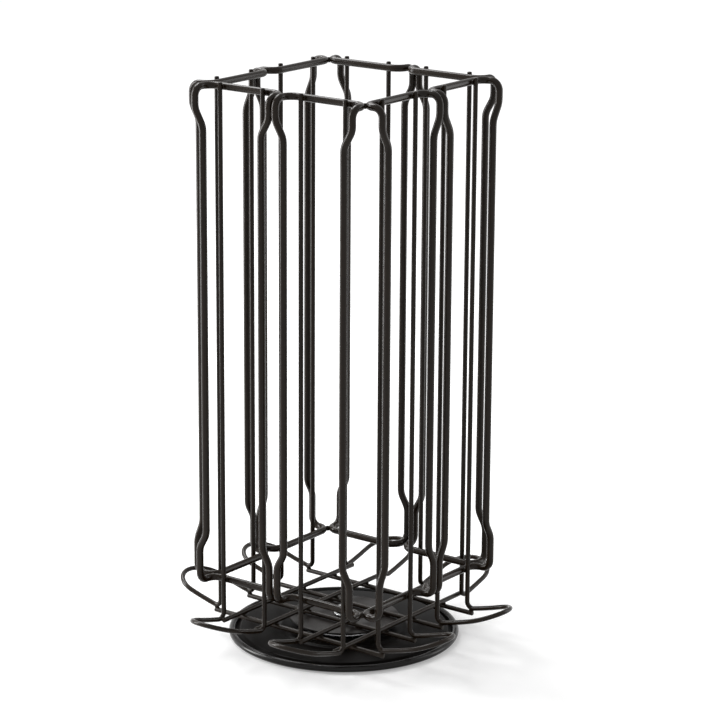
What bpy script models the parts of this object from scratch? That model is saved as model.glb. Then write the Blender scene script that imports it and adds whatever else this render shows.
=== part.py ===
# Rotary wire holder: eight vertical tracks round a square well, turning on a round steel base.
# Metres, +Z up. The origin is on the turning axis, at the level that the feet stand on.
# Each of the four faces carries two tracks. Face 0 looks along -Y, and the others follow by quarter turns.

import math

import bmesh
import bpy
from mathutils import Matrix, Vector

# Stock and clearances
RAIL_WIRE = 0.0039
THIN_WIRE = 0.0026
PAN_SHEET = 0.0012
HUB_SHEET = 0.0012
TOUCH = 0.0003
BOLT_FIT = 0.0003

# Rail loops: clear widths between the two rails of a track, and heights along them
MOUTH_CLEAR = 0.0455
TRACK_CLEAR = 0.0351
FLARE_CLEAR = 0.0444
MOUTH_HEIGHT = 0.0113
MOUTH_TAPER = 0.0089
TRACK_HEIGHT = 0.2240
FLARE_TAPER = 0.0080
FLARE_HEIGHT = 0.0193
LOW_BAR_RISE = 0.0212
NEIGHBOUR_GAP = 0.0003
CORNER_BEND = 0.0064
ARM_STRAIGHT = 0.0001
DOWN_BEND = 0.0050
KINK_BEND = 0.0100

# Tray wires: two uprights that turn out at the foot into a round-ended tray
TRAY_CLEAR = 0.0259
TRAY_STRAIGHT = 0.0168
TRAY_FOOT_BEND = 0.0035
TRAY_FOOT_ANGLE = math.radians(12.8)
TRAY_TIP_ANGLE = math.radians(21.2)
TRAY_WIRE_PROUD = 0.0007
END_ROUNDING = 0.0006

# Floor wires: how far they run on past the lowest point of the tray wires
FLOOR_LAP = 0.0003

# Base pan
BEAD_CIRCLE = 0.0617
BEAD_RADIUS = 0.0018
BEAD_DROP = 0.0010
GROOVE_WIDTH = 0.0014
GROOVE_DEPTH = 0.0014
STEP_WIDTH = 0.0016
CENTRE_RADIUS = 0.0345
CENTRE_RAISE = 0.0009
FOOT_RADIUS = 0.0060
FOOT_HEIGHT = 0.0024
FOOT_INSET = 0.00035

# Pivot and ball bearing
BOLT_RADIUS = 0.0025
BOLT_HEAD_RADIUS = 0.0060
BOLT_HEAD_HEIGHT = 0.0013
BOLT_END = 0.0005
WASHER_RADIUS = 0.0055
WASHER_HEIGHT = 0.0009
NUT_FLATS = 0.0080
NUT_HEIGHT = 0.0030
BALL_RADIUS = 0.00125
BALL_CIRCLE = 0.0180
BALL_COUNT = 12
RACE_WIDTH = 0.0080
RACE_WALL = 0.0004
RACE_GAP = 0.0013
CAGE_WIDTH = 0.0056
HUB_RADIUS = 0.0300

# Arc of the bead, from where it leaves the sheet on top round to where it meets the sheet below
BEAD_START = math.radians(190)
BEAD_SWEEP = math.radians(320)

# Black of the powder coat on the wires
WIRE_BLACK = (0.022, 0.021, 0.020)

# Fineness of the round forms
BEND_STEPS = 3
KINK_STEPS = 1
TIP_STEPS = 8
BEAD_STEPS = 12
GROOVE_STEPS = 6
POCKET_SIDES = 12
FINE_TURN = 60
RING_TURN = 48
SMALL_TURN = 20
SEAM_MERGE = 0.000005
SHARP_ANGLE = math.radians(35)

# Widths between wire centres
mouth_width = MOUTH_CLEAR + RAIL_WIRE
track_width = TRACK_CLEAR + RAIL_WIRE
flare_width = FLARE_CLEAR + RAIL_WIRE
tray_width = TRAY_CLEAR + THIN_WIRE
track_offset = (max(mouth_width, flare_width) + RAIL_WIRE + NEIGHBOUR_GAP) / 2

# The ring is the square of cross bars. Loops of two faces meet back to back at its corners.
widest_arm = track_offset + max(mouth_width, flare_width) / 2
corner_room = (RAIL_WIRE + NEIGHBOUR_GAP) / math.sqrt(2)
ring_half = widest_arm + corner_room - (2 - math.sqrt(2)) * CORNER_BEND
rail_reach = CORNER_BEND + ARM_STRAIGHT + DOWN_BEND
upright_stand = (RAIL_WIRE + THIN_WIRE) / 2 + TOUCH
wire_step = THIN_WIRE + TOUCH

# Plan of the base pan, from the bead inwards
groove_outer = BEAD_CIRCLE - BEAD_RADIUS
groove_inner = groove_outer - GROOVE_WIDTH
field_end = groove_inner - GROOVE_DEPTH
foot_circle = field_end - FOOT_RADIUS - FOOT_INSET

# Heights of the base and the bearing, from the surface up
pan_under = FOOT_HEIGHT + TOUCH
bead_level = pan_under + PAN_SHEET / 2 - BEAD_DROP
centre_under = pan_under + CENTRE_RAISE
centre_top = centre_under + PAN_SHEET
ball_room = BALL_RADIUS + TOUCH
race_height = ball_room - RACE_GAP / 2 + RACE_WALL
lower_race_under = centre_top + TOUCH
lower_race_top = lower_race_under + race_height
ball_level = lower_race_top + RACE_GAP / 2
upper_race_under = lower_race_top + RACE_GAP
upper_race_top = upper_race_under + race_height
hub_under = upper_race_top + TOUCH
hub_top = hub_under + HUB_SHEET

# Heights of the rack, from the hub plate up
low_floor_level = hub_top + TOUCH + THIN_WIRE / 2
high_floor_level = low_floor_level + wire_step
tray_low_level = low_floor_level + wire_step
low_bar_level = tray_low_level + LOW_BAR_RISE
flare_level = low_bar_level + FLARE_HEIGHT
track_low_level = flare_level + FLARE_TAPER
track_high_level = track_low_level + TRACK_HEIGHT
mouth_level = track_high_level + MOUTH_TAPER
top_bar_level = mouth_level + MOUTH_HEIGHT
upright_top = top_bar_level + RAIL_WIRE / 2 + TRAY_WIRE_PROUD

# Plan of the tray wires, measured outwards from the ring
foot_centre = upright_stand + TRAY_FOOT_BEND
foot_end = foot_centre + TRAY_FOOT_BEND * math.sin(TRAY_FOOT_ANGLE)
foot_end_level = tray_low_level + TRAY_FOOT_BEND * (1 - math.cos(TRAY_FOOT_ANGLE))
tip_centre = foot_end + TRAY_STRAIGHT
tip_reach = tip_centre + tray_width / 2
floor_half_length = ring_half + foot_centre + FLOOR_LAP


def clear_scene():
    for item in list(bpy.data.objects):
        bpy.data.objects.remove(item, do_unlink=True)


def make_material(name, colour, roughness, metallic):
    material = bpy.data.materials.new(name)
    material.use_nodes = True
    shader = material.node_tree.nodes["Principled BSDF"]
    shader.inputs["Base Color"].default_value = (*colour, 1.0)
    shader.inputs["Roughness"].default_value = roughness
    shader.inputs["Metallic"].default_value = metallic
    return material


def place(name, data, parent=None, location=(0.0, 0.0, 0.0), turn=0.0):
    item = bpy.data.objects.new(name, data)
    item.location = location
    item.rotation_euler = (0.0, 0.0, turn)
    item.parent = parent
    bpy.context.collection.objects.link(item)
    return item


def axis_empty(name, level):
    # An empty on the turning axis, which carries the pieces that turn together.
    return place(name, None, location=(0.0, 0.0, level))


def fillet_path(corners, radii, steps):
    # A closed path through the corners, with each one rounded to its radius.
    count = len(corners)
    points = []
    for index, corner in enumerate(corners):
        back = (corners[index - 1] - corner).normalized()
        ahead = (corners[(index + 1) % count] - corner).normalized()
        turn = math.pi - back.angle(ahead)
        reach = radii[index] * math.tan(turn / 2)
        start = corner + back * reach
        centre = corner + (back + ahead).normalized() * (radii[index] / math.cos(turn / 2))
        spoke = start - centre
        swing = Matrix.Rotation(turn / steps[index], 3, spoke.cross(corner - start))
        for _ in range(steps[index] + 1):
            points.append(centre + spoke)
            spoke = swing @ spoke
    return points


def wire_curve(name, points, diameter, material, closed=False, rounding=0.0):
    # Round wire along the points. With a rounding, both ends narrow over that length.
    curve = bpy.data.curves.new(name, "CURVE")
    curve.dimensions = "3D"
    curve.bevel_depth = diameter / 2
    curve.bevel_resolution = 2
    curve.use_fill_caps = not closed
    spline = curve.splines.new("POLY")
    spline.points.add(len(points) - 1)
    for knot, point in zip(spline.points, points):
        knot.co = (*point, 1.0)
        knot.radius = 1.0
    if rounding:
        spline.points[0].radius = 1.0 - rounding / (diameter / 2)
        spline.points[-1].radius = 1.0 - rounding / (diameter / 2)
    spline.use_cyclic_u = closed
    spline.use_smooth = True
    curve.materials.append(material)
    return curve


def rail_loop_curve(material):
    # One closed wire: bar across the back, arms out to the front, and a rail down each side.
    def side(sign):
        return [
            Vector((sign * mouth_width / 2, 0.0, top_bar_level)),
            Vector((sign * mouth_width / 2, -rail_reach, top_bar_level)),
            Vector((sign * mouth_width / 2, -rail_reach, mouth_level)),
            Vector((sign * track_width / 2, -rail_reach, track_high_level)),
            Vector((sign * track_width / 2, -rail_reach, track_low_level)),
            Vector((sign * flare_width / 2, -rail_reach, flare_level)),
            Vector((sign * flare_width / 2, -rail_reach, low_bar_level)),
            Vector((sign * flare_width / 2, 0.0, low_bar_level)),
        ]

    side_radii = [CORNER_BEND, DOWN_BEND] + [KINK_BEND] * 4 + [DOWN_BEND, CORNER_BEND]
    side_steps = [BEND_STEPS] * 2 + [KINK_STEPS] * 4 + [BEND_STEPS] * 2
    corners = side(1) + side(-1)[::-1]
    points = fillet_path(corners, side_radii * 2, side_steps * 2)
    return wire_curve("rail_loop", points, RAIL_WIRE, material, closed=True)


def tray_level(reach):
    # Height of the tray wire, which climbs from the foot angle to the tip angle.
    run = reach - foot_end
    bend = (math.tan(TRAY_TIP_ANGLE) - math.tan(TRAY_FOOT_ANGLE)) / (2 * (tip_reach - foot_end))
    return foot_end_level + math.tan(TRAY_FOOT_ANGLE) * run + bend * run ** 2


def tray_wire_curve(material):
    half = tray_width / 2
    side = [(upright_stand, upright_top), (upright_stand, upright_top - END_ROUNDING)]
    foot_sweep = math.pi / 2 + TRAY_FOOT_ANGLE
    for step in range(BEND_STEPS + 2):
        angle = math.pi + foot_sweep * step / (BEND_STEPS + 1)
        out = foot_centre + TRAY_FOOT_BEND * math.cos(angle)
        level = tray_low_level + TRAY_FOOT_BEND * (1 + math.sin(angle))
        side.append((out, level))
    middle = (foot_end + tip_centre) / 2
    side.append((middle, tray_level(middle)))

    tip = []
    for step in range(TIP_STEPS + 1):
        angle = math.pi * step / TIP_STEPS
        out = tip_centre + half * math.sin(angle)
        tip.append(Vector((-half * math.cos(angle), -out, tray_level(out))))

    points = [Vector((-half, -out, level)) for out, level in side]
    points += tip
    points += [Vector((half, -out, level)) for out, level in reversed(side)]
    return wire_curve("tray_wire", points, THIN_WIRE, material, rounding=END_ROUNDING)


def track_places():
    # Place and turn of each of the eight tracks on the ring, two to a face.
    for face in range(4):
        turn = face * math.pi / 2
        for sign in (-1, 1):
            spot = Vector((sign * track_offset, -ring_half, 0.0))
            spot.rotate(Matrix.Rotation(turn, 3, "Z"))
            yield spot, turn


def build_tracks(rack_axis):
    rail_curve = rail_loop_curve(make_material("rail_black", WIRE_BLACK, 0.38, 0.0))
    tray_curve = tray_wire_curve(make_material("tray_black", WIRE_BLACK, 0.38, 0.0))
    for number, (spot, turn) in enumerate(track_places(), start=1):
        spot.z -= rack_axis.location.z
        place(f"rail_loop_{number}", rail_curve, rack_axis, spot, turn)
        place(f"tray_wire_{number}", tray_curve, rack_axis, spot, turn)


def build_floor(rack_axis):
    # The lower layer runs under the tray wires of the X faces, the upper layer beside those of the Y faces.
    material = make_material("floor_black", WIRE_BLACK, 0.38, 0.0)
    ends = [Vector((-floor_half_length, 0.0, 0.0)), Vector((floor_half_length, 0.0, 0.0))]
    curve = wire_curve("floor_wire", ends, THIN_WIRE, material)
    inner_line = track_offset - tray_width / 2
    outer_line = track_offset + tray_width / 2
    inner_beside = inner_line + wire_step
    outer_beside = outer_line - wire_step
    lower_lines = [-outer_line, -inner_line, inner_line, outer_line]
    upper_lines = [-outer_beside, -inner_beside, inner_beside, outer_beside]
    for number, line in enumerate(lower_lines, start=1):
        spot = (0.0, line, low_floor_level - rack_axis.location.z)
        place(f"lower_floor_wire_{number}", curve, rack_axis, spot)
    for number, line in enumerate(upper_lines, start=1):
        spot = (line, 0.0, high_floor_level - rack_axis.location.z)
        place(f"upper_floor_wire_{number}", curve, rack_axis, spot, math.pi / 2)


def finish_mesh(name, shape, material):
    bmesh.ops.recalc_face_normals(shape, faces=shape.faces)
    mesh = bpy.data.meshes.new(name)
    shape.to_mesh(mesh)
    shape.free()
    mesh.shade_smooth()
    mesh.set_sharp_from_angle(angle=SHARP_ANGLE)
    mesh.materials.append(material)
    return mesh


def turned_mesh(name, outline, turns, material, closed=True):
    # Spin an outline of (radius, height) points about Z. An open outline starts and ends on the axis.
    shape = bmesh.new()
    verts = [shape.verts.new((radius, 0.0, height)) for radius, height in outline]
    edges = [shape.edges.new(pair) for pair in zip(verts, verts[1:])]
    if closed:
        edges.append(shape.edges.new((verts[-1], verts[0])))
    bmesh.ops.spin(
        shape, geom=verts + edges, axis=(0, 0, 1), cent=(0, 0, 0), angle=2 * math.pi, steps=turns,
    )
    bmesh.ops.remove_doubles(shape, verts=shape.verts, dist=SEAM_MERGE)
    return finish_mesh(name, shape, material)


def cut_with(item, cutter_mesh):
    # The cutter stays in the scene as a guide, and is left out of the model.
    cutter = place(f"{item.name}_cutter", cutter_mesh)
    cutter.hide_render = True
    cutter.display_type = "WIRE"
    cut = item.modifiers.new("cut", "BOOLEAN")
    cut.operation = "DIFFERENCE"
    cut.solver = "EXACT"
    cut.object = cutter


def build_base():
    # Stamped pan: raised centre, flat field, a groove, and a bead rolled round the edge.
    field_top = pan_under + PAN_SHEET
    bore = BOLT_RADIUS + BOLT_FIT
    outline = [(bore, centre_top), (CENTRE_RADIUS, centre_top), (CENTRE_RADIUS + STEP_WIDTH, field_top)]
    outline += [(field_end, field_top), (groove_inner, field_top - GROOVE_DEPTH)]
    for step in range(BEAD_STEPS + 1):
        angle = BEAD_START - BEAD_SWEEP * step / BEAD_STEPS
        radius = BEAD_CIRCLE + BEAD_RADIUS * math.cos(angle)
        outline.append((radius, bead_level + BEAD_RADIUS * math.sin(angle)))
    outline += [(groove_inner, pan_under - GROOVE_DEPTH), (field_end, pan_under)]
    outline += [(CENTRE_RADIUS + STEP_WIDTH, pan_under), (CENTRE_RADIUS, centre_under)]
    outline.append((bore, centre_under))
    pan_paint = make_material("pan_black", (0.030, 0.027, 0.025), 0.42, 0.0)
    place("base_pan", turned_mesh("base_pan", outline, FINE_TURN, pan_paint))

    foot_outline = [(0.0, 0.0), (FOOT_RADIUS, 0.0), (FOOT_RADIUS, FOOT_HEIGHT), (0.0, FOOT_HEIGHT)]
    rubber = make_material("foot_rubber", (0.035, 0.035, 0.035), 0.85, 0.0)
    foot = turned_mesh("rubber_foot", foot_outline, SMALL_TURN, rubber, closed=False)
    for number in range(1, 5):
        angle = math.pi / 4 + number * math.pi / 2
        spot = (foot_circle * math.cos(angle), foot_circle * math.sin(angle), 0.0)
        place(f"rubber_foot_{number}", foot, location=spot)


def build_pivot():
    # Bolt up through the pan and the hub plate, with a washer and a nut that stand still with it.
    steel = make_material("pivot_steel", (0.55, 0.55, 0.56), 0.30, 1.0)
    washer_under = hub_top + TOUCH
    nut_under = washer_under + WASHER_HEIGHT + TOUCH
    bolt_top = nut_under + NUT_HEIGHT + BOLT_END
    head_top = centre_under - TOUCH
    head_under = head_top - BOLT_HEAD_HEIGHT
    bolt_outline = [(0.0, head_under), (BOLT_HEAD_RADIUS, head_under), (BOLT_HEAD_RADIUS, head_top)]
    bolt_outline += [(BOLT_RADIUS, head_top), (BOLT_RADIUS, bolt_top), (0.0, bolt_top)]
    place("pivot_bolt", turned_mesh("pivot_bolt", bolt_outline, SMALL_TURN, steel, closed=False))

    bore = BOLT_RADIUS + BOLT_FIT
    washer_top = washer_under + WASHER_HEIGHT
    washer_outline = [(bore, washer_under), (WASHER_RADIUS, washer_under)]
    washer_outline += [(WASHER_RADIUS, washer_top), (bore, washer_top)]
    place("pivot_washer", turned_mesh("pivot_washer", washer_outline, SMALL_TURN, steel))

    nut_corner = NUT_FLATS / math.sqrt(3)
    nut_outline = [(0.0, 0.0), (nut_corner, 0.0), (nut_corner, NUT_HEIGHT), (0.0, NUT_HEIGHT)]
    nut_mesh = turned_mesh("lock_nut", nut_outline, 6, steel, closed=False)
    nut = place("lock_nut", nut_mesh, location=(0.0, 0.0, nut_under))
    drill_low = nut_under - NUT_HEIGHT
    drill_high = nut_under + 2 * NUT_HEIGHT
    drill_outline = [(0.0, drill_low), (bore, drill_low), (bore, drill_high), (0.0, drill_high)]
    cut_with(nut, turned_mesh("nut_bore", drill_outline, SMALL_TURN, steel, closed=False))


def race_mesh(name, flat_level, groove_level, material):
    # Flat ring with a ball groove in the face towards groove_level. Its other face is at flat_level.
    sign = 1 if groove_level > flat_level else -1
    inner = BALL_CIRCLE - RACE_WIDTH / 2
    outer = BALL_CIRCLE + RACE_WIDTH / 2
    groove_half_angle = math.acos(RACE_GAP / 2 / ball_room)
    outline = [(inner, flat_level), (outer, flat_level), (outer, flat_level + sign * race_height)]
    for step in range(GROOVE_STEPS + 1):
        angle = groove_half_angle * (1 - 2 * step / GROOVE_STEPS)
        radius = BALL_CIRCLE + ball_room * math.sin(angle)
        outline.append((radius, groove_level - sign * ball_room * math.cos(angle)))
    outline.append((inner, flat_level + sign * race_height))
    return turned_mesh(name, outline, RING_TURN, material)


def build_bearing(ball_axis, rack_axis):
    steel = make_material("race_steel", (0.50, 0.50, 0.51), 0.28, 1.0)
    place("lower_race", race_mesh("lower_race", lower_race_under, ball_level, steel))
    rise = rack_axis.location.z
    place("upper_race", race_mesh("upper_race", upper_race_top - rise, ball_level - rise, steel), rack_axis)

    ball_steel = make_material("ball_steel", (0.62, 0.62, 0.63), 0.15, 1.0)
    ball_shape = bmesh.new()
    bmesh.ops.create_icosphere(ball_shape, subdivisions=2, radius=BALL_RADIUS)
    ball = finish_mesh("ball", ball_shape, ball_steel)
    pockets = bmesh.new()
    for number in range(1, BALL_COUNT + 1):
        angle = 2 * math.pi * number / BALL_COUNT
        spot = Vector((BALL_CIRCLE * math.cos(angle), BALL_CIRCLE * math.sin(angle), 0.0))
        place(f"ball_{number}", ball, ball_axis, spot)
        pocket_spot = Matrix.Translation(spot + ball_axis.location)
        bmesh.ops.create_cone(
            pockets, cap_ends=True, segments=POCKET_SIDES, depth=2 * RACE_GAP,
            radius1=ball_room, radius2=ball_room, matrix=pocket_spot,
        )

    cage_half = RACE_GAP / 2 - TOUCH
    cage_inner = BALL_CIRCLE - CAGE_WIDTH / 2
    cage_outer = BALL_CIRCLE + CAGE_WIDTH / 2
    cage_outline = [(cage_inner, -cage_half), (cage_outer, -cage_half)]
    cage_outline += [(cage_outer, cage_half), (cage_inner, cage_half)]
    brass = make_material("cage_brass", (0.60, 0.45, 0.20), 0.35, 1.0)
    cage = place("ball_cage", turned_mesh("ball_cage", cage_outline, RING_TURN, brass), ball_axis)
    cut_with(cage, finish_mesh("cage_pockets", pockets, brass))


def build_hub(rack_axis):
    bore = BOLT_RADIUS + BOLT_FIT
    low = hub_under - rack_axis.location.z
    high = hub_top - rack_axis.location.z
    outline = [(bore, low), (HUB_RADIUS, low), (HUB_RADIUS, high), (bore, high)]
    paint = make_material("hub_black", (0.024, 0.023, 0.022), 0.40, 0.0)
    place("hub_plate", turned_mesh("hub_plate", outline, RING_TURN, paint), rack_axis)


def main():
    clear_scene()
    ball_axis = axis_empty("ball_axis", ball_level)
    rack_axis = axis_empty("rack_axis", ball_level)
    build_base()
    build_pivot()
    build_bearing(ball_axis, rack_axis)
    build_hub(rack_axis)
    build_floor(rack_axis)
    build_tracks(rack_axis)


main()
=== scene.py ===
import math

import bmesh
import bpy
from mathutils import Matrix, Vector


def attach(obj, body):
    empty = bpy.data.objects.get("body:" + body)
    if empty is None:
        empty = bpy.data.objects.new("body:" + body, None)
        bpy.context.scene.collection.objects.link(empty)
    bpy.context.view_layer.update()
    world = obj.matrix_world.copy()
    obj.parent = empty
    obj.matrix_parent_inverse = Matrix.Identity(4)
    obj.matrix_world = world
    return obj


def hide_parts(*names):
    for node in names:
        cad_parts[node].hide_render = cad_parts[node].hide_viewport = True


# Rotary wire holder: finished wires, welds, base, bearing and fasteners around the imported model.
# Metres, +Z up. The origin is on the turning axis, at the level that the feet stand on.

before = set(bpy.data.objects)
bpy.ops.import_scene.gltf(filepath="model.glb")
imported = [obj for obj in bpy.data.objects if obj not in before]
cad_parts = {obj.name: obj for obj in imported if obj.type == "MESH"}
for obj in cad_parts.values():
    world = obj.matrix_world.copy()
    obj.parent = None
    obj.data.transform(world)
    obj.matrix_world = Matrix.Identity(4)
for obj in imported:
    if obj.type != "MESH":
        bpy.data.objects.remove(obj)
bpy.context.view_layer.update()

# Wire stock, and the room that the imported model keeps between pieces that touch
RAIL_WIRE = 0.0039
THIN_WIRE = 0.0026
TOUCH = 0.0003

# Rail loops, measured between wire centres, with the heights of their kinks
RING_HALF = 0.0507200
TRACK_OFFSET = 0.0268000
MOUTH_WIDTH = 0.0494
TRACK_WIDTH = 0.0390
FLARE_WIDTH = 0.0483
RAIL_REACH = 0.0115
CORNER_BEND = 0.0064
DOWN_BEND = 0.0050
KINK_BEND = 0.0100
LOW_BAR = 0.0362
FLARE_LEVEL = 0.0555
TRACK_LOW = 0.0635
TRACK_HIGH = 0.2875
MOUTH_LEVEL = 0.2964
TOP_BAR = 0.3077

# Tray wires
TRAY_WIDTH = 0.0285
UPRIGHT_STAND = 0.00355
UPRIGHT_TOP = 0.31035
FOOT_BEND = 0.0035
FOOT_ANGLE = math.radians(12.8)
TIP_ANGLE = math.radians(21.2)
TRAY_LOW = 0.0150
TRAY_STRAIGHT = 0.0167
END_ROUNDING = 0.0006

# Floor wires
LOW_FLOOR = 0.0121
HIGH_FLOOR = 0.0150
FLOOR_LAP = 0.0003
FLOOR_END_ROUNDING = 0.0003

# Weld nuggets, as half sizes along, across and up
BAR_NUGGET = (0.0019, 0.0007, 0.0013)
MOUTH_NUGGET = (0.0007, 0.0012, 0.0024)
CORNER_NUGGET = (0.0022, 0.0011, 0.0015)
CROSSING_NUGGET = (0.0014, 0.0014, 0.0006)
FOOT_NUGGET = (0.0016, 0.0010, 0.0006)
BESIDE_NUGGET = (0.0006, 0.0016, 0.0010)
HUB_NUGGET = (0.0026, 0.0015, 0.0006)

# How far the nuggets at the tray feet stand back from the bend, and those on the hub plate from
# its middle, as a share of its radius
FOOT_NUGGET_BACK = 0.0008
HUB_NUGGET_PLACE = 0.66

# Base pan, as its sheet runs from the bore to the rolled edge
PAN_BORE = 0.0028
PAN_SHEET = 0.0012
PAN_UNDER = 0.0027
PAN_SOFTENING = 0.0008
CENTRE_RAISE = 0.0009
CENTRE_RADIUS = 0.0345
STEP_WIDTH = 0.0016
FIELD_END = 0.0571
GROOVE_DEPTH = 0.0014
BEAD_CIRCLE = 0.0617
BEAD_RADIUS = 0.0018
BEAD_LEVEL = 0.0023
BEAD_SWEEP = (192, -128)
CURL_SWEEP = (-128, 188)
CURL_LIP = ((0.0015, 0.00115), (0.0022, 0.0013))

# Rubber feet
PAD_RADIUS = 0.0060
PAD_HEIGHT = 0.0024
PAD_CIRCLE = 0.05075
PAD_SOFTENING = 0.0003
PAD_EDGE = 0.0003
PAD_TAPER = 0.0004
DIMPLE_DEPTH = 0.0006
DIMPLE_FLOOR = 0.0028
DIMPLE_MOUTH = 0.0032

# Bolt, washer and nut
BOLT_RADIUS = 0.0025
BOLT_HEAD_RADIUS = 0.0060
BOLT_HEAD_LOW = 0.0020
BOLT_HEAD_HIGH = 0.0033
BOLT_TOP = 0.0155
HEAD_BEVEL = (0.0006, 0.0005)
TIP_BEVEL = 0.0005
THREAD_LOW = 0.0104
THREAD_PITCH = 0.0008
THREAD_DEPTH = 0.00040
THREAD_MARGIN = 0.0001
WASHER_LOW = 0.0108
WASHER_HIGH = 0.0117
WASHER_RADIUS = 0.0055
STEEL_SOFTENING = 0.0002
NUT_FLATS = 0.0080
NUT_LOW = 0.0120
NUT_HIGH = 0.0150
NUT_EDGE = 0.00015
NUT_RIM = 0.0001
NUT_CHAMFER_SLOPE = 0.55
NUT_COUNTERSINK = 0.0003

# Bearing and hub plate
BALL_CIRCLE = 0.0180
BALL_RADIUS = 0.00125
BALL_LEVEL = 0.00705
BALL_COUNT = 12
RACE_WIDTH = 0.0080
RACE_WALL = 0.0004
RACE_GAP = 0.0013
RACE_EDGE = 0.0002
HUB_RADIUS = 0.0300
HUB_LOW = 0.0093
HUB_HIGH = 0.0105
HUB_SOFTENING = 0.0003

# Fineness
BEND_STEPS = 12
KINK_STEPS = 6
TIP_STEPS = 32
RAMP_STEPS = 6
RAIL_SIDES = 28
THIN_SIDES = 24
NUGGET_SIDES = 20
NUGGET_RINGS = 12
BEAD_STEPS = 56
CURL_STEPS = 40
GROOVE_STEPS = 20
THREAD_STEPS = 8
BALL_LEVELS = 4
TURNS = 180
RACE_TURNS = 120
NUT_TURNS = 72
SMALL_TURNS = 64

# How much of a side a softened corner may take, and how near to the axis a point counts as on it
CORNER_SHARE = 0.45
ON_AXIS = 1e-7

# Surface grain: noise scales, depth and strength of the relief, and the part of the noise that the
# tones and the sheen spread over
COAT_TONE_GRAIN = 140.0
COAT_SHEEN_GRAIN = 90.0
COAT_PEEL_GRAIN = 1100.0
COAT_PEEL_DEPTH = 0.00006
COAT_PEEL = 0.35
STEEL_TONE_GRAIN = 500.0
STEEL_SHEEN_GRAIN = 900.0
STEEL_MARK_GRAIN = 2200.0
STEEL_MARK_DEPTH = 0.00003
STEEL_MARKS = 0.25
RUBBER_TONE_GRAIN = 300.0
RUBBER_SHEEN_GRAIN = 700.0
RUBBER_PORE_GRAIN = 1800.0
RUBBER_PORE_DEPTH = 0.00008
RUBBER_PORES = 0.5
NOISE_SPREAD = (0.3, 0.7)

# Stage: the floor's glow as (distance in units of the reach, grey), lower near the object as
# painted shade round it, and the studio's own strength
FLOOR_RADIUS = 9.0
FLOOR_SIDES = 96
FLOOR_GREY = 0.72
FLOOR_ROUGHNESS = 0.9
GLOW_REACH = 2.0
GLOW_AND_PAINTED_SHADE_STOPS = ((0.025, 0.24), (0.05, 0.45), (0.09, 0.55), (0.20, 0.57), (0.75, 0.76))
STUDIO_STRENGTH = 0.35
WHITE = (1.0, 1.0, 1.0, 1.0)

# Softboxes: azimuth from +X towards +Y, distance, height, size, power, and height that it aims at
SOFTBOXES = {
    "key_softbox": (-154.0, 0.95, 0.42, (0.30, 0.84), 11.5, 0.42),
    "fill_softbox": (50.0, 0.95, 0.42, (0.30, 0.84), 2.6, 0.42),
    "top_softbox": (160.0, 0.95, 1.25, (0.70, 0.70), 15.0, 0.10),
}

# Camera
CAMERA_PLACE = Vector((0.8972424, -1.1732897, 0.5600364))
CAMERA_AIM = Vector((0.0028865, 0.0050668, 0.1583077))
CAMERA_ROLL = math.radians(0.2995)
CAMERA_SENSOR = 36.0
CAMERA_LENS = 143.873


# Shapes

def mesh_object(name, shape, smooth_angle=40):
    bmesh.ops.recalc_face_normals(shape, faces=shape.faces)
    mesh = bpy.data.meshes.new(name)
    shape.to_mesh(mesh)
    shape.free()
    mesh.shade_smooth()
    mesh.set_sharp_from_angle(angle=math.radians(smooth_angle))
    item = bpy.data.objects.new(name, mesh)
    bpy.context.collection.objects.link(item)
    return item


def bridge(shape, low, high):
    # Faces between two rings of points. A ring of a single point closes to a tip.
    count = max(len(low), len(high))
    for index in range(count):
        after = (index + 1) % count
        corners = [low[0]] if len(low) == 1 else [low[index], low[after]]
        corners += [high[0]] if len(high) == 1 else [high[after], high[index]]
        shape.faces.new(corners)


def fillet_path(corners, radii, steps):
    # A closed path through the corners, with each one rounded to its radius.
    count = len(corners)
    points = []
    for index, corner in enumerate(corners):
        back = (corners[index - 1] - corner).normalized()
        ahead = (corners[(index + 1) % count] - corner).normalized()
        turn = math.pi - back.angle(ahead)
        start = corner + back * radii[index] * math.tan(turn / 2)
        centre = corner + (back + ahead).normalized() * (radii[index] / math.cos(turn / 2))
        spoke = start - centre
        swing = Matrix.Rotation(turn / steps[index], 3, spoke.cross(corner - start))
        for _ in range(steps[index] + 1):
            points.append(centre + spoke)
            spoke = swing @ spoke
    return points


def path_frames(points, closed):
    # A tangent and a side direction at each point, carried along so that the tube doesn't twist.
    count = len(points)
    tangents = []
    for index in range(count):
        before = points[index - 1] if closed or index else points[0]
        after = points[(index + 1) % count] if closed or index < count - 1 else points[-1]
        into = (points[index] - before).normalized()
        out = (after - points[index]).normalized()
        tangents.append((into + out).normalized())
    side = tangents[0].orthogonal().normalized()
    sides = [side]
    for before, after in zip(tangents, tangents[1:]):
        side = before.rotation_difference(after) @ side
        side = (side - after * side.dot(after)).normalized()
        sides.append(side)
    if closed:
        last = tangents[-1].rotation_difference(tangents[0]) @ sides[-1]
        slip = math.atan2(tangents[0].dot(last.cross(sides[0])), last.dot(sides[0]))
        sides = [
            Matrix.Rotation(slip * index / count, 3, tangent) @ side
            for index, (tangent, side) in enumerate(zip(tangents, sides))
        ]
    return tangents, sides


def add_tube(shape, points, radii, sides, closed=False):
    # Round wire along the points, with a radius for each. Open ends close in a point.
    tangents, spokes = path_frames(points, closed)
    rings = []
    for point, tangent, spoke, radius in zip(points, tangents, spokes, radii):
        cross = tangent.cross(spoke)
        ring = []
        for index in range(sides):
            angle = 2 * math.pi * index / sides
            reach = radius * (math.cos(angle) * spoke + math.sin(angle) * cross)
            ring.append(shape.verts.new(point + reach))
        rings.append(ring)
    for low, high in zip(rings, rings[1:]):
        bridge(shape, low, high)
    if closed:
        bridge(shape, rings[-1], rings[0])
    else:
        bridge(shape, rings[0], [shape.verts.new(points[0])])
        bridge(shape, rings[-1], [shape.verts.new(points[-1])])


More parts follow.
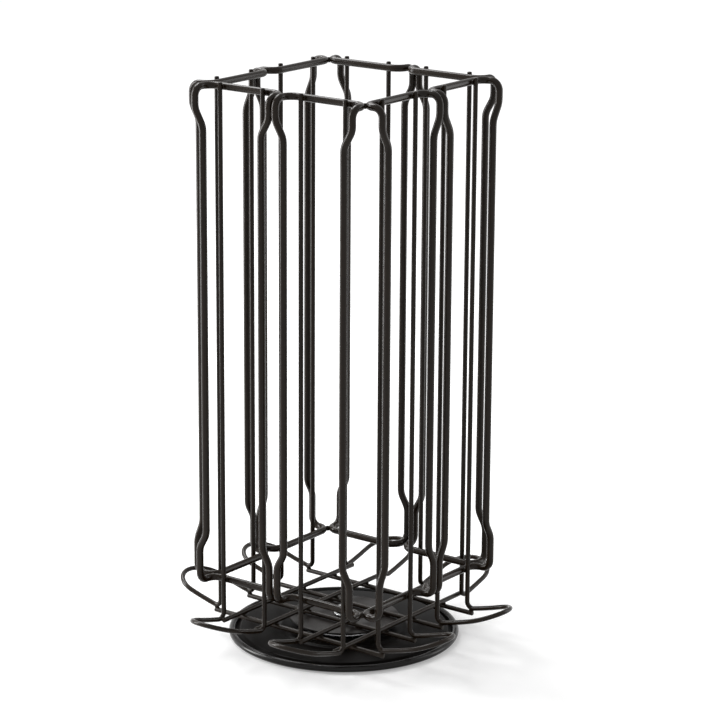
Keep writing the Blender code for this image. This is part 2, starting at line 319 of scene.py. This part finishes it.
def rounded_ends(points, radius, rounding, steps=5):
    # Points and radii of an open wire whose two ends are domed over the given length.
    def dome(end, inner):
        along = (inner - end).normalized()
        spots = []
        for step in range(steps):
            angle = math.pi / 2 * step / steps
            spot = end + along * rounding * (1 - math.cos(angle))
            spots.append((spot, radius - rounding * (1 - math.sin(angle))))
        return spots

    start = dome(points[0], points[1])
    finish = dome(points[-1], points[-2])[::-1]
    first = points[0] + (points[1] - points[0]).normalized() * rounding
    last = points[-1] + (points[-2] - points[-1]).normalized() * rounding
    body = [(first, radius)] + [(point, radius) for point in points[1:-1]] + [(last, radius)]
    spots = start + body + finish
    return [spot for spot, _ in spots], [size for _, size in spots]


def turned(name, outline, turns=TURNS, closed=True, smooth_angle=40):
    # An outline of (radius, height) points turned about Z. An open one has both ends on the axis.
    shape = bmesh.new()
    rings = []
    for radius, height in outline:
        if radius < ON_AXIS:
            rings.append([shape.verts.new((0.0, 0.0, height))])
            continue
        rings.append([
            shape.verts.new((radius * math.cos(angle), radius * math.sin(angle), height))
            for angle in (2 * math.pi * step / turns for step in range(turns))
        ])
    for low, high in zip(rings, rings[1:]):
        bridge(shape, low, high)
    if closed:
        bridge(shape, rings[-1], rings[0])
    return mesh_object(name, shape, smooth_angle)


def arc(centre, radius, start, end, steps):
    # Points of an arc in the outline plane, with the angles in degrees.
    points = []
    for step in range(steps + 1):
        angle = math.radians(start + (end - start) * step / steps)
        points.append((centre[0] + radius * math.cos(angle), centre[1] + radius * math.sin(angle)))
    return points


def corner_curve(start, corner, end, steps):
    # Points of a smooth curve from start to end, drawn towards the corner.
    points = []
    for step in range(steps + 1):
        share = step / steps
        points.append(tuple(start.lerp(corner, share).lerp(corner.lerp(end, share), share)))
    return points


def soften(outline, radius, steps=4):
    # The closed outline with every corner rounded evenly, as far as the shorter side allows.
    points = []
    count = len(outline)
    for index in range(count):
        corner = Vector(outline[index])
        before = Vector(outline[index - 1]) - corner
        after = Vector(outline[(index + 1) % count]) - corner
        reach = min(radius, before.length * CORNER_SHARE, after.length * CORNER_SHARE)
        start = corner + before.normalized() * reach
        end = corner + after.normalized() * reach
        points += corner_curve(start, corner, end, steps)
    return points


def soften_open(outline, radius, steps=5):
    # The open outline with its inner corners rounded, each side as far as it allows.
    points = [outline[0]]
    for before, here, after in zip(outline, outline[1:], outline[2:]):
        corner = Vector(here)
        back = Vector(before) - corner
        ahead = Vector(after) - corner
        start = corner + back.normalized() * min(radius, back.length * CORNER_SHARE)
        end = corner + ahead.normalized() * min(radius, ahead.length * CORNER_SHARE)
        points += corner_curve(start, corner, end, steps)
    points.append(outline[-1])
    return points


def add_nugget(shape, centre, sizes, turn=Matrix.Identity(3)):
    # A weld nugget: a smooth squashed ball, with its half sizes along the given axes.
    place = Matrix.Translation(centre) @ turn.to_4x4() @ Matrix.Diagonal((*sizes, 1.0))
    bmesh.ops.create_uvsphere(
        shape, u_segments=NUGGET_SIDES, v_segments=NUGGET_RINGS, radius=1.0, matrix=place
    )


# Materials

def new_material(name, roughness, metallic=0.0, specular=0.5):
    material = bpy.data.materials.new(name)
    material.use_nodes = True
    shader = material.node_tree.nodes["Principled BSDF"]
    shader.inputs["Roughness"].default_value = roughness
    shader.inputs["Metallic"].default_value = metallic
    shader.inputs["Specular IOR Level"].default_value = specular
    return material, material.node_tree, shader


def noise_node(tree, scale, detail=3.0, stretch=(1.0, 1.0, 1.0)):
    place = tree.nodes.new("ShaderNodeTexCoord")
    mapping = tree.nodes.new("ShaderNodeMapping")
    mapping.inputs["Scale"].default_value = stretch
    noise = tree.nodes.new("ShaderNodeTexNoise")
    noise.inputs["Scale"].default_value = scale
    noise.inputs["Detail"].default_value = detail
    tree.links.new(place.outputs["Object"], mapping.inputs["Vector"])
    tree.links.new(mapping.outputs["Vector"], noise.inputs["Vector"])
    return noise


def link_colour(tree, shader, noise, tones):
    ramp = tree.nodes.new("ShaderNodeValToRGB")
    for stop, position, tone in zip(ramp.color_ramp.elements, NOISE_SPREAD, tones):
        stop.position = position
        stop.color = (*tone, 1.0)
    tree.links.new(noise.outputs["Fac"], ramp.inputs["Fac"])
    tree.links.new(ramp.outputs["Color"], shader.inputs["Base Color"])


def link_roughness(tree, shader, noise, roughness):
    spread = tree.nodes.new("ShaderNodeMapRange")
    spread.inputs["From Min"].default_value = NOISE_SPREAD[0]
    spread.inputs["From Max"].default_value = NOISE_SPREAD[1]
    spread.inputs["To Min"].default_value = roughness[0]
    spread.inputs["To Max"].default_value = roughness[1]
    tree.links.new(noise.outputs["Fac"], spread.inputs["Value"])
    tree.links.new(spread.outputs["Result"], shader.inputs["Roughness"])


def link_bump(tree, shader, noise, strength, distance):
    bump = tree.nodes.new("ShaderNodeBump")
    bump.inputs["Strength"].default_value = strength
    bump.inputs["Distance"].default_value = distance
    tree.links.new(noise.outputs["Fac"], bump.inputs["Height"])
    tree.links.new(bump.outputs["Normal"], shader.inputs["Normal"])


def powder_coat(name, tones, roughness, specular, peel=COAT_PEEL):
    # Satin powder coat: slightly uneven colour and sheen, and a fine orange peel.
    material, tree, shader = new_material(name, roughness[1], specular=specular)
    link_colour(tree, shader, noise_node(tree, COAT_TONE_GRAIN), tones)
    link_roughness(tree, shader, noise_node(tree, COAT_SHEEN_GRAIN, detail=1.0), roughness)
    link_bump(tree, shader, noise_node(tree, COAT_PEEL_GRAIN, detail=1.0), peel, COAT_PEEL_DEPTH)
    return material


def worked_steel(name, tones, roughness, stretch=(1.0, 1.0, 1.0)):
    # Bare or plated metal, with fine tool marks drawn out along the stretch.
    material, tree, shader = new_material(name, roughness[1], metallic=1.0)
    marks = noise_node(tree, STEEL_MARK_GRAIN, detail=2.0, stretch=stretch)
    link_colour(tree, shader, noise_node(tree, STEEL_TONE_GRAIN, stretch=stretch), tones)
    link_roughness(tree, shader, noise_node(tree, STEEL_SHEEN_GRAIN, stretch=stretch), roughness)
    link_bump(tree, shader, marks, STEEL_MARKS, STEEL_MARK_DEPTH)
    return material


def moulded_rubber(name, tones, roughness, specular):
    # Dull rubber with fine pores.
    material, tree, shader = new_material(name, sum(roughness) / 2, specular=specular)
    pores = noise_node(tree, RUBBER_PORE_GRAIN, detail=4.0)
    link_colour(tree, shader, noise_node(tree, RUBBER_TONE_GRAIN), tones)
    link_roughness(tree, shader, noise_node(tree, RUBBER_SHEEN_GRAIN), roughness)
    link_bump(tree, shader, pores, RUBBER_PORES, RUBBER_PORE_DEPTH)
    return material


def make_materials():
    # Dark and light tone of each finish, then its roughness from and to, and its specular level.
    rail = (0.0112, 0.0066, 0.0032), (0.0156, 0.0096, 0.0050)
    thin = (0.0110, 0.0065, 0.0032), (0.0152, 0.0094, 0.0049)
    weld = (0.0096, 0.0060, 0.0032), (0.0132, 0.0086, 0.0048)
    # The pan's field tones are a darker copy of the bead's paint: painted shade.
    pan = (0.0024, 0.0018, 0.0014), (0.0032, 0.0024, 0.0020)
    bead = (0.0038, 0.0030, 0.0025), (0.0048, 0.0037, 0.0031)
    hub = (0.0088, 0.0068, 0.0056), (0.0128, 0.0100, 0.0084)
    zinc = (0.50, 0.51, 0.52), (0.66, 0.67, 0.66)
    ground = (0.44, 0.44, 0.45), (0.56, 0.56, 0.57)
    polished = (0.60, 0.60, 0.61), (0.70, 0.70, 0.71)
    brass = (0.52, 0.37, 0.15), (0.66, 0.50, 0.24)
    rubber = (0.020, 0.020, 0.020), (0.036, 0.035, 0.034)
    return {
        "rail": powder_coat("rail_powder_coat", rail, (0.235, 0.25), 0.18),
        "tray": powder_coat("tray_powder_coat", thin, (0.245, 0.26), 0.18),
        "floor": powder_coat("floor_powder_coat", thin, (0.32, 0.36), 0.17),
        "weld": powder_coat("weld_powder_coat", weld, (0.36, 0.40), 0.10, peel=0.10),
        # The field's paint is darker and duller than the bead's on the same sheet: painted shade.
        "pan": powder_coat("pan_semi_gloss_painted_shade", pan, (0.28, 0.30), 0.02, peel=0.06),
        "bead": powder_coat("bead_gloss", bead, (0.22, 0.24), 0.21, peel=0.06),
        "hub": powder_coat("hub_powder_coat", hub, (0.36, 0.44), 0.24),
        "pivot": worked_steel("zinc_plated_steel", zinc, (0.24, 0.38)),
        "race": worked_steel("ground_steel", ground, (0.20, 0.34), stretch=(1.0, 1.0, 6.0)),
        "ball": worked_steel("polished_steel", polished, (0.06, 0.14)),
        "cage": worked_steel("stamped_brass", brass, (0.26, 0.40)),
        "rubber": moulded_rubber("moulded_rubber", rubber, (0.72, 0.88), 0.3),
    }


def finish_piece(item, material, body, slot, *nodes):
    item.data.materials.append(material)
    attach(item, body)
    if nodes:
        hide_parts(*nodes)


# Wires of the rack

def face_turn(face):
    return Matrix.Rotation(face * math.pi / 2, 3, "Z")


def track_places():
    # Face, turn and place of each of the eight tracks on the ring, two to a face.
    for face in range(4):
        turn = face_turn(face)
        for sign in (-1, 1):
            yield face, turn, turn @ Vector((sign * TRACK_OFFSET, -RING_HALF, 0.0))


def rail_loop_path():
    # One closed wire: bar across the back, arms out to the front, and a rail down each side.
    def side(sign):
        return [
            Vector((sign * MOUTH_WIDTH / 2, 0.0, TOP_BAR)),
            Vector((sign * MOUTH_WIDTH / 2, -RAIL_REACH, TOP_BAR)),
            Vector((sign * MOUTH_WIDTH / 2, -RAIL_REACH, MOUTH_LEVEL)),
            Vector((sign * TRACK_WIDTH / 2, -RAIL_REACH, TRACK_HIGH)),
            Vector((sign * TRACK_WIDTH / 2, -RAIL_REACH, TRACK_LOW)),
            Vector((sign * FLARE_WIDTH / 2, -RAIL_REACH, FLARE_LEVEL)),
            Vector((sign * FLARE_WIDTH / 2, -RAIL_REACH, LOW_BAR)),
            Vector((sign * FLARE_WIDTH / 2, 0.0, LOW_BAR)),
        ]

    radii = [CORNER_BEND, DOWN_BEND] + [KINK_BEND] * 4 + [DOWN_BEND, CORNER_BEND]
    steps = [BEND_STEPS] * 2 + [KINK_STEPS] * 4 + [BEND_STEPS] * 2
    return fillet_path(side(1) + side(-1)[::-1], radii * 2, steps * 2)


def tray_profile():
    # The tray wire seen from the side, as (reach, height) from the top of the upright outwards.
    foot_centre = UPRIGHT_STAND + FOOT_BEND
    foot_end = foot_centre + FOOT_BEND * math.sin(FOOT_ANGLE)
    foot_end_level = TRAY_LOW + FOOT_BEND * (1 - math.cos(FOOT_ANGLE))
    tip_centre = foot_end + TRAY_STRAIGHT
    tip_reach = tip_centre + TRAY_WIDTH / 2
    bend = (math.tan(TIP_ANGLE) - math.tan(FOOT_ANGLE)) / (2 * (tip_reach - foot_end))

    def level(reach):
        run = reach - foot_end
        return foot_end_level + math.tan(FOOT_ANGLE) * run + bend * run ** 2

    side = [(UPRIGHT_STAND, UPRIGHT_TOP), (UPRIGHT_STAND, TOP_BAR), (UPRIGHT_STAND, LOW_BAR)]
    sweep = math.pi / 2 + FOOT_ANGLE
    for step in range(BEND_STEPS + 1):
        angle = math.pi + sweep * step / BEND_STEPS
        reach = foot_centre + FOOT_BEND * math.cos(angle)
        side.append((reach, TRAY_LOW + FOOT_BEND * (1 + math.sin(angle))))
    for step in range(1, RAMP_STEPS):
        reach = foot_end + (tip_centre - foot_end) * step / RAMP_STEPS
        side.append((reach, level(reach)))
    return side, tip_centre, level


def tray_wire_path():
    # Down one upright, out round the tip of the tray, and up the other.
    half = TRAY_WIDTH / 2
    side, tip_centre, level = tray_profile()
    points = [Vector((-half, -reach, height)) for reach, height in side]
    for step in range(TIP_STEPS + 1):
        angle = math.pi * step / TIP_STEPS
        reach = tip_centre + half * math.sin(angle)
        points.append(Vector((-half * math.cos(angle), -reach, level(reach))))
    points += [Vector((half, -reach, height)) for reach, height in reversed(side)]
    return points


def make_tracks(materials):
    loop = rail_loop_path()
    loop_radii = [RAIL_WIRE / 2] * len(loop)
    tray, tray_radii = rounded_ends(tray_wire_path(), THIN_WIRE / 2, END_ROUNDING)
    for number, (_, turn, spot) in enumerate(track_places(), start=1):
        shape = bmesh.new()
        points = [turn @ point + spot for point in loop]
        add_tube(shape, points, loop_radii, RAIL_SIDES, closed=True)
        rail = mesh_object(f"rail_wire_{number}", shape)
        finish_piece(rail, materials["rail"], "rack", "rail_wire", f"rail_loop_{number}")

        shape = bmesh.new()
        points = [turn @ point + spot for point in tray]
        add_tube(shape, points, tray_radii, THIN_SIDES)
        wire = mesh_object(f"tray_bend_{number}", shape, smooth_angle=60)
        finish_piece(wire, materials["tray"], "rack", "tray_wire", f"tray_wire_{number}")


def floor_lines():
    # Where the floor wires run: the lower ones under the tray wires, the upper ones beside them.
    inner = TRACK_OFFSET - TRAY_WIDTH / 2
    outer = TRACK_OFFSET + TRAY_WIDTH / 2
    step = THIN_WIRE + TOUCH
    lower = [-outer, -inner, inner, outer]
    upper = [step - outer, -inner - step, inner + step, outer - step]
    return lower, upper


def make_floor_wires(materials):
    # The lower layer runs along X and the upper one along Y.
    half_length = RING_HALF + UPRIGHT_STAND + FOOT_BEND + FLOOR_LAP
    lower, upper = floor_lines()
    layers = [
        ("lower", lower, LOW_FLOOR, Vector((1.0, 0.0, 0.0)), Vector((0.0, 1.0, 0.0))),
        ("upper", upper, HIGH_FLOOR, Vector((0.0, 1.0, 0.0)), Vector((1.0, 0.0, 0.0))),
    ]
    for layer, lines, height, along, across in layers:
        for number, line in enumerate(lines, start=1):
            middle = across * line + Vector((0.0, 0.0, height))
            ends = [middle + along * sign * half_length for sign in (-1, 1)]
            points, radii = rounded_ends(ends, THIN_WIRE / 2, FLOOR_END_ROUNDING)
            shape = bmesh.new()
            add_tube(shape, points, radii, THIN_SIDES)
            wire = mesh_object(f"floor_rod_{layer}_{number}", shape, smooth_angle=60)
            node = f"{layer}_floor_wire_{number}"
            finish_piece(wire, materials["floor"], "rack", "floor_wire", node)


def add_track_nuggets(shapes):
    # Where the two uprights of a tray wire cross the upper and the lower bar of their rail loop.
    rail_edge = RAIL_WIRE / 2 + TOUCH / 2
    for face, turn, spot in track_places():
        for sign in (-1, 1):
            for bar in (TOP_BAR, LOW_BAR):
                centre = turn @ Vector((sign * TRAY_WIDTH / 2, -rail_edge, bar)) + spot
                add_nugget(shapes[face], centre, BAR_NUGGET, turn)


def add_face_nuggets(shape, turn):
    # Between the two mouths of a face, and at its corner with the next face, high and low.
    middle = (TOP_BAR - DOWN_BEND + MOUTH_LEVEL) / 2
    between = turn @ Vector((0.0, -RING_HALF - RAIL_REACH, middle))
    add_nugget(shape, between, MOUTH_NUGGET, turn)
    corner_turn = turn @ Matrix.Rotation(math.pi / 4, 3, "Z")
    widest = TRACK_OFFSET + MOUTH_WIDTH / 2
    slack = (RAIL_WIRE + TOUCH) / math.sqrt(2) / 2
    reach = widest + slack - (1 - 1 / math.sqrt(2)) * CORNER_BEND
    for bar in (TOP_BAR, LOW_BAR):
        add_nugget(shape, turn @ Vector((reach, -reach, bar)), CORNER_NUGGET, corner_turn)


def add_floor_nuggets(shape):
    # Where the floor wires cross, where they meet the tray wires, and on the hub plate.
    lower, upper = floor_lines()
    between = (LOW_FLOOR + HIGH_FLOOR) / 2
    for across in lower:
        for along in upper:
            add_nugget(shape, Vector((along, across, between)), CROSSING_NUGGET)
    foot = RING_HALF + UPRIGHT_STAND + FOOT_BEND - FOOT_NUGGET_BACK
    half_step = (THIN_WIRE + TOUCH) / 2
    for sign in (-1, 1):
        for line in lower:
            add_nugget(shape, Vector((sign * foot, line, between)), FOOT_NUGGET)
            beside = line - math.copysign(half_step, line - math.copysign(TRACK_OFFSET, line))
            add_nugget(shape, Vector((beside, sign * foot, HIGH_FLOOR)), BESIDE_NUGGET)
        for line in lower[1:3]:
            along = sign * HUB_RADIUS * HUB_NUGGET_PLACE
            add_nugget(shape, Vector((along, line, HUB_HIGH)), HUB_NUGGET)


def make_welds(materials):
    # Nuggets where wires cross or run side by side, one piece for each face and one for the floor.
    shapes = [bmesh.new() for _ in range(4)]
    add_track_nuggets(shapes)
    for face, shape in enumerate(shapes):
        add_face_nuggets(shape, face_turn(face))
        weld = mesh_object(f"weld_nuggets_{face + 1}", shape, smooth_angle=180)
        finish_piece(weld, materials["weld"], "rack", "rail_wire")
    shape = bmesh.new()
    add_floor_nuggets(shape)
    weld = mesh_object("weld_nuggets_floor", shape, smooth_angle=180)
    finish_piece(weld, materials["weld"], "rack", "floor_wire")


# Base

def make_pan(materials):
    # One sheet: bore, raised centre, step, field, groove and rolled bead, and back below.
    field_top = PAN_UNDER + PAN_SHEET
    centre_top = field_top + CENTRE_RAISE
    step_end = CENTRE_RADIUS + STEP_WIDTH
    groove = FIELD_END + GROOVE_DEPTH
    bead_centre = (BEAD_CIRCLE, BEAD_LEVEL)
    bead = arc(bead_centre, BEAD_RADIUS, *BEAD_SWEEP, BEAD_STEPS)
    curl = arc(bead_centre, BEAD_RADIUS - PAN_SHEET, *CURL_SWEEP, CURL_STEPS)
    top = [(PAN_BORE, centre_top), (CENTRE_RADIUS, centre_top), (step_end, field_top)]
    top += [(FIELD_END, field_top), (groove, field_top - GROOVE_DEPTH), bead[0]]
    low = [curl[-1]] + [(BEAD_CIRCLE - inwards, BEAD_LEVEL - down) for inwards, down in CURL_LIP]
    low += [(groove, PAN_UNDER - GROOVE_DEPTH), (FIELD_END, PAN_UNDER), (step_end, PAN_UNDER)]
    low += [(CENTRE_RADIUS, PAN_UNDER + CENTRE_RAISE), (PAN_BORE, PAN_UNDER + CENTRE_RAISE)]
    outline = soften_open(top, PAN_SOFTENING) + bead[1:]
    outline += curl[:-1] + soften_open(low, PAN_SOFTENING)
    pan = turned("pan_pressing", outline, smooth_angle=50)
    finish_piece(pan, materials["pan"], "base", "pan_paint", "base_pan")
    # The field inside the bead takes the darker paint, which is painted shade; the rolled bead
    # keeps the lighter one.
    pan.data.materials.append(materials["bead"])
    for face in pan.data.polygons:
        out = math.hypot(face.center.x, face.center.y)
        face.material_index = int(out > BEAD_CIRCLE - BEAD_RADIUS)


def make_feet(materials):
    # Round pads with a shallow dimple underneath.
    outline = [(0.0, DIMPLE_DEPTH), (DIMPLE_FLOOR, DIMPLE_DEPTH), (DIMPLE_MOUTH, 0.0)]
    outline += [(PAD_RADIUS - PAD_EDGE, 0.0), (PAD_RADIUS, PAD_TAPER)]
    outline += [(PAD_RADIUS - PAD_TAPER, PAD_HEIGHT), (0.0, PAD_HEIGHT)]
    outline = soften_open(outline, PAD_SOFTENING)
    for number in range(1, 5):
        angle = math.pi / 4 + number * math.pi / 2
        foot = turned(f"foot_pad_{number}", outline, SMALL_TURNS, closed=False)
        for vertex in foot.data.vertices:
            vertex.co.x += PAD_CIRCLE * math.cos(angle)
            vertex.co.y += PAD_CIRCLE * math.sin(angle)
        node = f"rubber_foot_{number}"
        finish_piece(foot, materials["rubber"], "base", "foot_rubber", node)


# Pivot, bearing and hub plate

def make_pivot(materials):
    # Bolt with a bevelled head below and a thread above, flat washer, and hexagon nut.
    bevel_in, bevel_up = HEAD_BEVEL
    head = [(0.0, BOLT_HEAD_LOW), (BOLT_HEAD_RADIUS - bevel_in, BOLT_HEAD_LOW)]
    head += [(BOLT_HEAD_RADIUS, BOLT_HEAD_LOW + bevel_up), (BOLT_HEAD_RADIUS, BOLT_HEAD_HIGH)]
    head += [(BOLT_RADIUS, BOLT_HEAD_HIGH)]
    steps = round((BOLT_TOP - THREAD_LOW) / THREAD_PITCH * THREAD_STEPS)
    rise = THREAD_PITCH / THREAD_STEPS
    shank = [(BOLT_RADIUS, THREAD_LOW + rise * step) for step in range(steps)]
    tip = [(BOLT_RADIUS - TIP_BEVEL, BOLT_TOP), (0.0, BOLT_TOP)]
    outline = soften_open(head, STEEL_SOFTENING) + shank + tip
    bolt = turned("pivot_screw", outline, SMALL_TURNS, closed=False)
    cut_thread(bolt)
    finish_piece(bolt, materials["pivot"], "base", "pivot_steel", "pivot_bolt")

    bore = BOLT_RADIUS + TOUCH
    outline = [(bore, WASHER_LOW), (WASHER_RADIUS, WASHER_LOW)]
    outline += [(WASHER_RADIUS, WASHER_HIGH), (bore, WASHER_HIGH)]
    washer = turned("flat_washer", soften(outline, STEEL_SOFTENING), SMALL_TURNS)
    finish_piece(washer, materials["pivot"], "base", "pivot_steel", "pivot_washer")
    finish_piece(make_nut(bore), materials["pivot"], "base", "pivot_steel", "lock_nut")


def cut_thread(bolt):
    # The thread winds up the shank: its points move inwards by where they lie along the pitch.
    shank = BOLT_RADIUS - THREAD_MARGIN
    for vertex in bolt.data.vertices:
        point = vertex.co
        if point.z < THREAD_LOW or math.hypot(point.x, point.y) < shank:
            continue
        turns = math.atan2(point.y, point.x) / (2 * math.pi)
        phase = (point.z / THREAD_PITCH - turns) % 1.0
        shrink = 1 - THREAD_DEPTH * abs(2 * phase - 1) / BOLT_RADIUS
        point.x *= shrink
        point.y *= shrink
    bolt.data.update()


def make_nut(bore):
    # Hexagon nut, chamfered all round at both ends, with a countersunk bore.
    flat = NUT_FLATS / 2
    wide_bore = bore + NUT_COUNTERSINK
    top = NUT_HIGH - NUT_EDGE
    bottom = NUT_LOW + NUT_EDGE

    def circle(radius, height):
        return lambda angle: (radius, height)

    def hexagon(height, slope):
        # A chamfer is a cone, so it cuts deeper towards the corners.
        def spot(angle):
            size = flat / math.cos(angle % (math.pi / 3) - math.pi / 6)
            return size, height + slope * (size - flat)
        return spot

    outline = [
        circle(bore, NUT_LOW + NUT_COUNTERSINK), circle(wide_bore, NUT_LOW),
        circle(flat - NUT_RIM, NUT_LOW), hexagon(bottom, NUT_CHAMFER_SLOPE),
        hexagon(top, -NUT_CHAMFER_SLOPE), circle(flat - NUT_RIM, NUT_HIGH),
        circle(wide_bore, NUT_HIGH), circle(bore, NUT_HIGH - NUT_COUNTERSINK),
    ]
    shape = bmesh.new()
    rings = []
    for spot in outline:
        ring = []
        for index in range(NUT_TURNS):
            angle = 2 * math.pi * index / NUT_TURNS
            size, level = spot(angle)
            ring.append(shape.verts.new((size * math.cos(angle), size * math.sin(angle), level)))
        rings.append(ring)
    for low, high in zip(rings, rings[1:] + rings[:1]):
        bridge(shape, low, high)
    return mesh_object("hexagon_nut", shape, smooth_angle=28)


def race_outline(flat, sign):
    # A ring with its flat side at the given height and a groove for the balls on the other side.
    ball_room = BALL_RADIUS + TOUCH
    height = ball_room - RACE_GAP / 2 + RACE_WALL
    inner = BALL_CIRCLE - RACE_WIDTH / 2
    outer = BALL_CIRCLE + RACE_WIDTH / 2
    half_angle = math.degrees(math.acos(RACE_GAP / 2 / ball_room))
    lip = flat + sign * height
    edge = sign * RACE_EDGE
    start, end = sign * (half_angle - 90), sign * (-90 - half_angle)
    outline = [(inner, flat + edge), (inner + RACE_EDGE, flat)]
    outline += [(outer - RACE_EDGE, flat), (outer, flat + edge)]
    outline += [(outer, lip - edge), (outer - RACE_EDGE, lip)]
    outline += arc((BALL_CIRCLE, BALL_LEVEL), ball_room, start, end, GROOVE_STEPS)
    outline += [(inner + RACE_EDGE, lip), (inner, lip - edge)]
    return outline


def make_bearing(materials):
    to_flat = BALL_RADIUS + TOUCH + RACE_WALL
    lower_outline = race_outline(BALL_LEVEL - to_flat, 1)
    upper_outline = race_outline(BALL_LEVEL + to_flat, -1)
    lower = turned("lower_race_ring", lower_outline, RACE_TURNS, smooth_angle=50)
    upper = turned("upper_race_ring", upper_outline, RACE_TURNS, smooth_angle=50)
    finish_piece(lower, materials["race"], "base", "race_steel", "lower_race")
    finish_piece(upper, materials["race"], "rack", "race_steel", "upper_race")
    for number in range(1, BALL_COUNT + 1):
        angle = 2 * math.pi * number / BALL_COUNT
        across = Vector((math.cos(angle), math.sin(angle), 0.0)) * BALL_CIRCLE
        place = Matrix.Translation(across + Vector((0.0, 0.0, BALL_LEVEL)))
        shape = bmesh.new()
        bmesh.ops.create_icosphere(
            shape, subdivisions=BALL_LEVELS, radius=BALL_RADIUS, matrix=place
        )
        ball = mesh_object(f"bearing_ball_{number}", shape, smooth_angle=180)
        finish_piece(ball, materials["ball"], "ball_ring", "ball_steel", f"ball_{number}")
    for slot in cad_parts["ball_cage"].material_slots:
        slot.material = materials["cage"]


def make_hub(materials):
    outline = [(PAN_BORE, HUB_LOW), (HUB_RADIUS, HUB_LOW)]
    outline += [(HUB_RADIUS, HUB_HIGH), (PAN_BORE, HUB_HIGH)]
    hub = turned("hub_disc", soften(outline, HUB_SOFTENING))
    finish_piece(hub, materials["hub"], "rack", "hub_paint", "hub_plate")


# Stage, light and camera

def seen_rays(tree):
    # 1 for the rays that show the background: from the camera, in a reflection and through glass.
    rays = tree.nodes.new("ShaderNodeLightPath")
    total = rays.outputs["Is Camera Ray"]
    for kind in ("Is Glossy Ray", "Is Transmission Ray"):
        either = tree.nodes.new("ShaderNodeMath")
        either.operation = "MAXIMUM"
        tree.links.new(total, either.inputs[0])
        tree.links.new(rays.outputs[kind], either.inputs[1])
        total = either.outputs["Value"]
    return total


def floor_glow_and_painted_shade(tree):
    # How brightly the floor shows as the background: less near the object, which paints shade
    # round it, and more further out.
    place = tree.nodes.new("ShaderNodeTexCoord")
    distance = tree.nodes.new("ShaderNodeVectorMath")
    distance.operation = "LENGTH"
    tree.links.new(place.outputs["Object"], distance.inputs[0])
    reach = tree.nodes.new("ShaderNodeMath")
    reach.operation = "DIVIDE"
    reach.inputs[1].default_value = GLOW_REACH
    tree.links.new(distance.outputs["Value"], reach.inputs[0])
    glow_and_shade_ramp = tree.nodes.new("ShaderNodeValToRGB")
    stops = glow_and_shade_ramp.color_ramp.elements
    stops[0].position, stops[1].position = GLOW_AND_PAINTED_SHADE_STOPS[0][0], GLOW_AND_PAINTED_SHADE_STOPS[-1][0]
    for position, _ in GLOW_AND_PAINTED_SHADE_STOPS[1:-1]:
        stops.new(position)
    for stop, (_, grey) in zip(stops, GLOW_AND_PAINTED_SHADE_STOPS):
        stop.color = (grey, grey, grey, 1.0)
    tree.links.new(reach.outputs["Value"], glow_and_shade_ramp.inputs["Fac"])
    return glow_and_shade_ramp.outputs["Color"]


def make_stage():
    shape = bmesh.new()
    bmesh.ops.create_circle(shape, cap_ends=True, segments=FLOOR_SIDES, radius=FLOOR_RADIUS)
    ground = mesh_object("studio_floor", shape)
    material, tree, shader = new_material("pale_floor", FLOOR_ROUGHNESS, specular=0.0)
    shader.inputs["Base Color"].default_value = (FLOOR_GREY, FLOOR_GREY, FLOOR_GREY, 1.0)
    shader.inputs["Emission Color"].default_value = WHITE
    # The floor's emission for background rays is lower near the object, which paints shade round
    # it.
    lift = tree.nodes.new("ShaderNodeMath")
    lift.operation = "MULTIPLY"
    tree.links.new(seen_rays(tree), lift.inputs[0])
    tree.links.new(floor_glow_and_painted_shade(tree), lift.inputs[1])
    tree.links.new(lift.outputs["Value"], shader.inputs["Emission Strength"])
    ground.data.materials.append(material)


def background(tree, strength):
    node = tree.nodes.new("ShaderNodeBackground")
    node.inputs["Color"].default_value = WHITE
    node.inputs["Strength"].default_value = strength
    return node.outputs["Background"]


def make_world():
    # White wherever the camera looks past the floor, and a plain soft studio for the light itself.
    world = bpy.data.worlds.new("studio")
    bpy.context.scene.world = world
    world.use_nodes = True
    tree = world.node_tree
    tree.nodes.clear()
    mix = tree.nodes.new("ShaderNodeMixShader")
    out = tree.nodes.new("ShaderNodeOutputWorld")
    tree.links.new(seen_rays(tree), mix.inputs["Fac"])
    tree.links.new(background(tree, STUDIO_STRENGTH), mix.inputs[1])
    tree.links.new(background(tree, 1.0), mix.inputs[2])
    tree.links.new(mix.outputs["Shader"], out.inputs["Surface"])


def make_lights():
    for name, (azimuth, distance, height, size, power, aim_height) in SOFTBOXES.items():
        light = bpy.data.lights.new(name, "AREA")
        light.shape = "RECTANGLE"
        light.size, light.size_y = size
        light.energy = power
        item = bpy.data.objects.new(name, light)
        turn = math.radians(azimuth)
        item.location = (distance * math.cos(turn), distance * math.sin(turn), height)
        away = item.location - Vector((0.0, 0.0, aim_height))
        item.rotation_euler = away.to_track_quat("Z", "Y").to_euler()
        bpy.context.collection.objects.link(item)


def make_camera():
    back = (CAMERA_PLACE - CAMERA_AIM).normalized()
    level = Vector((0.0, 0.0, 1.0)).cross(back).normalized()
    right = level * math.cos(CAMERA_ROLL) + back.cross(level) * math.sin(CAMERA_ROLL)
    up = back.cross(right)
    data = bpy.data.cameras.new("camera")
    data.sensor_width = CAMERA_SENSOR
    data.lens = CAMERA_LENS
    camera = bpy.data.objects.new("camera", data)
    facing = Matrix((right, up, back)).transposed()
    camera.matrix_world = Matrix.Translation(CAMERA_PLACE) @ facing.to_4x4()
    bpy.context.collection.objects.link(camera)
    bpy.context.scene.camera = camera


def main():
    bpy.context.scene.view_settings.view_transform = "Standard"
    make_camera()
    make_stage()
    make_world()
    make_lights()
    materials = make_materials()
    make_tracks(materials)
    make_floor_wires(materials)
    make_welds(materials)
    make_pan(materials)
    make_feet(materials)
    make_pivot(materials)
    make_bearing(materials)
    make_hub(materials)


main()
